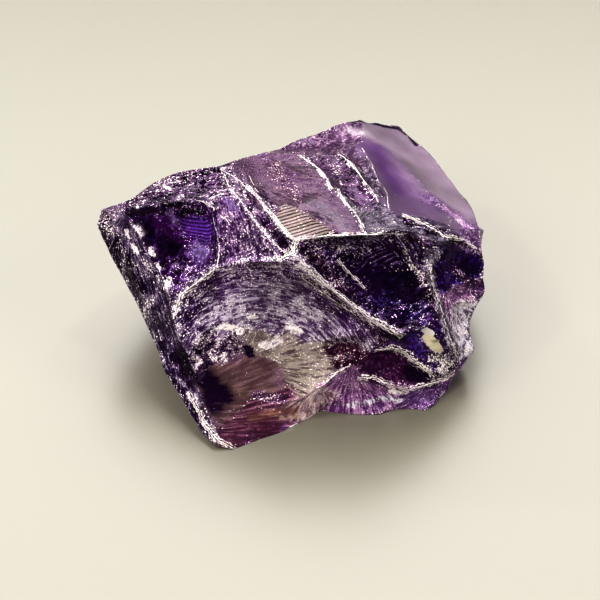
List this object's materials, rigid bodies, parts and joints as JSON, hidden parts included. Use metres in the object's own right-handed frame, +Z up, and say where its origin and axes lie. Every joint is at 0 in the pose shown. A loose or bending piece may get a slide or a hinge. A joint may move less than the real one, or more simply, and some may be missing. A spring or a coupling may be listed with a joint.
{
  "type": "rough amethyst lump",
  "caption": "Rough lump of clear violet quartz, broken all round into shell-shaped scars with sharp ridges between them, resting on one flat face.",
  "frame": {"origin": "middle of the bounding box's underside, on the flat resting face", "axes": "+X along the stone's greatest width, from the pointed left tip to the blunt right end; +Y from the broken front to the back; +Z up, square to the flat resting face"},
  "size_m": [0.0406, 0.0388, 0.0192],
  "materials": {
    "amethyst": "clear glassy fracture faces with fine ripples, pale crushed edges, violet colour that turns nearly black where the stone is thick"
  },
  "bodies": {
    "root": {"rough_amethyst": "amethyst"}
  },
  "joints": []
}
